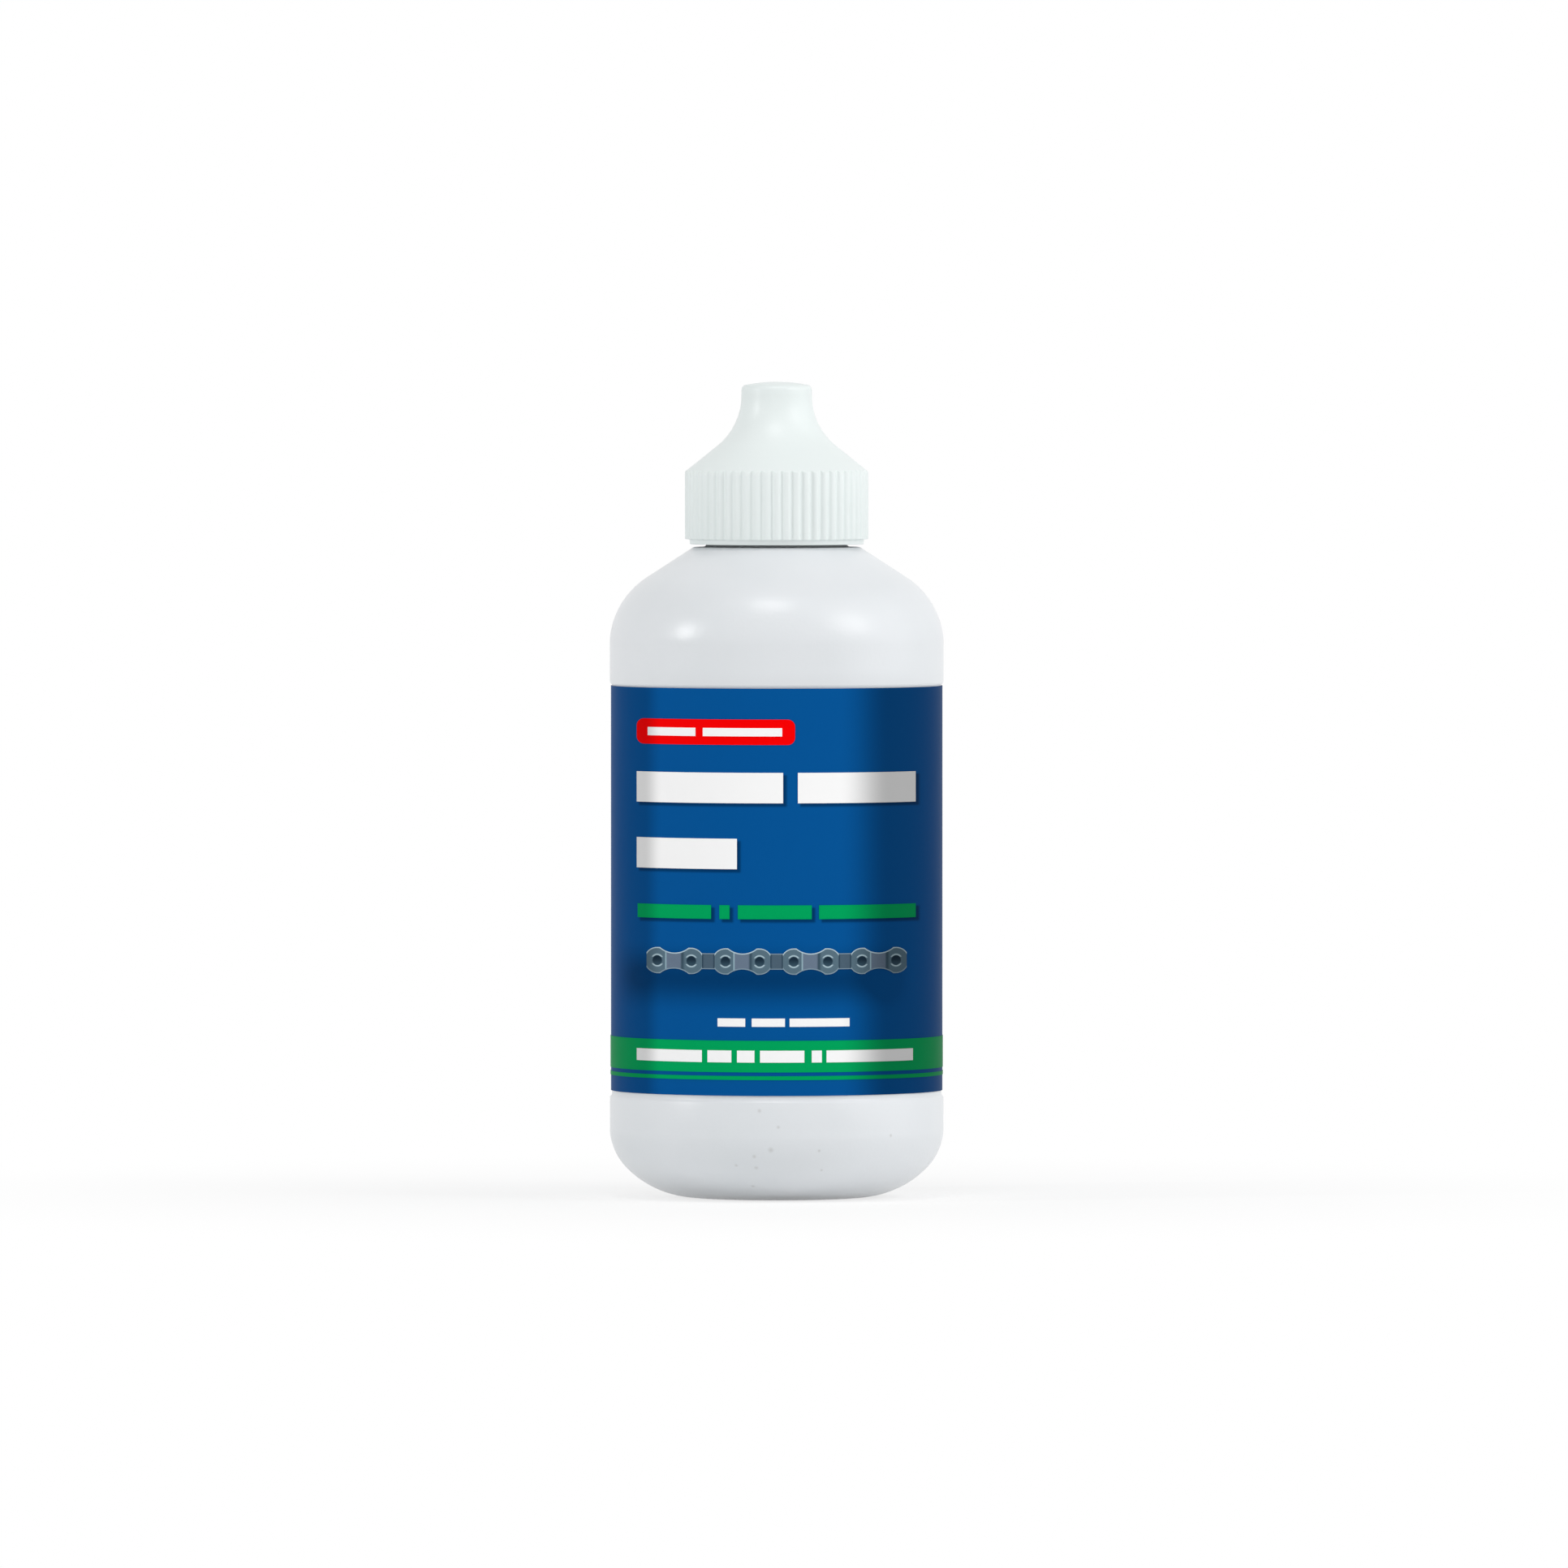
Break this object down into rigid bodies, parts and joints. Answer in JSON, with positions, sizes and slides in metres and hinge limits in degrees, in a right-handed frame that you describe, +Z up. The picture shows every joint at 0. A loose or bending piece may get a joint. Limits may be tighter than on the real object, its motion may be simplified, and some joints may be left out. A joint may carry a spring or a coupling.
{
  "type": "chain lube bottle",
  "caption": "Round white squeeze bottle with a blue wrap label and a ribbed long-nosed screw cap over a push-in dropper nozzle, for oiling bicycle chains.",
  "frame": {"origin": "centre of the standing ring, on the surface that the bottle stands on", "axes": "+Z up along the bottle's axis, -Y towards the printed front, +X to the right of the print"},
  "size_m": [0.0364, 0.0364, 0.0889],
  "materials": {
    "bottle_plastic": "satin, blown polyethylene",
    "nozzle_plastic": "satin, natural soft polyethylene",
    "seal_foam": "matt, soft foamed liner",
    "cap_plastic": "satin, moulded polypropylene",
    "label_blue": "printed film, low gloss",
    "ink_red": "printing ink, low gloss",
    "ink_green": "printing ink, low gloss",
    "ink_white": "printing ink, low gloss",
    "ink_steel": "printing ink, low gloss",
    "ink_dark_steel": "printing ink, low gloss"
  },
  "bodies": {
    "bottle_body": {"bottle": "bottle_plastic", "nozzle_plug": "nozzle_plastic", "label": "label_blue", "print_red": "ink_red", "print_green": "ink_green", "print_white": "ink_white", "print_links": "ink_steel", "print_pins": "ink_dark_steel"},
    "seal": {"seal_ring": "seal_foam"},
    "screw_cap": {"cap": "cap_plastic"}
  },
  "joints": [
    {"name": "cap_lift", "type": "slide", "parent": "bottle_body", "child": "seal", "axis": [0, 0, 1], "range_m": [0, 0.01665]},
    {"name": "cap_turn", "type": "hinge", "parent": "seal", "child": "screw_cap", "pos_m": [0, 0, 0.0791], "axis": [0, 0, 1], "range_deg": [0, 1890]}
  ],
  "couplings": [
    {"joint": "cap_turn", "follows": "cap_lift", "rad_per_m": 1979}
  ]
}
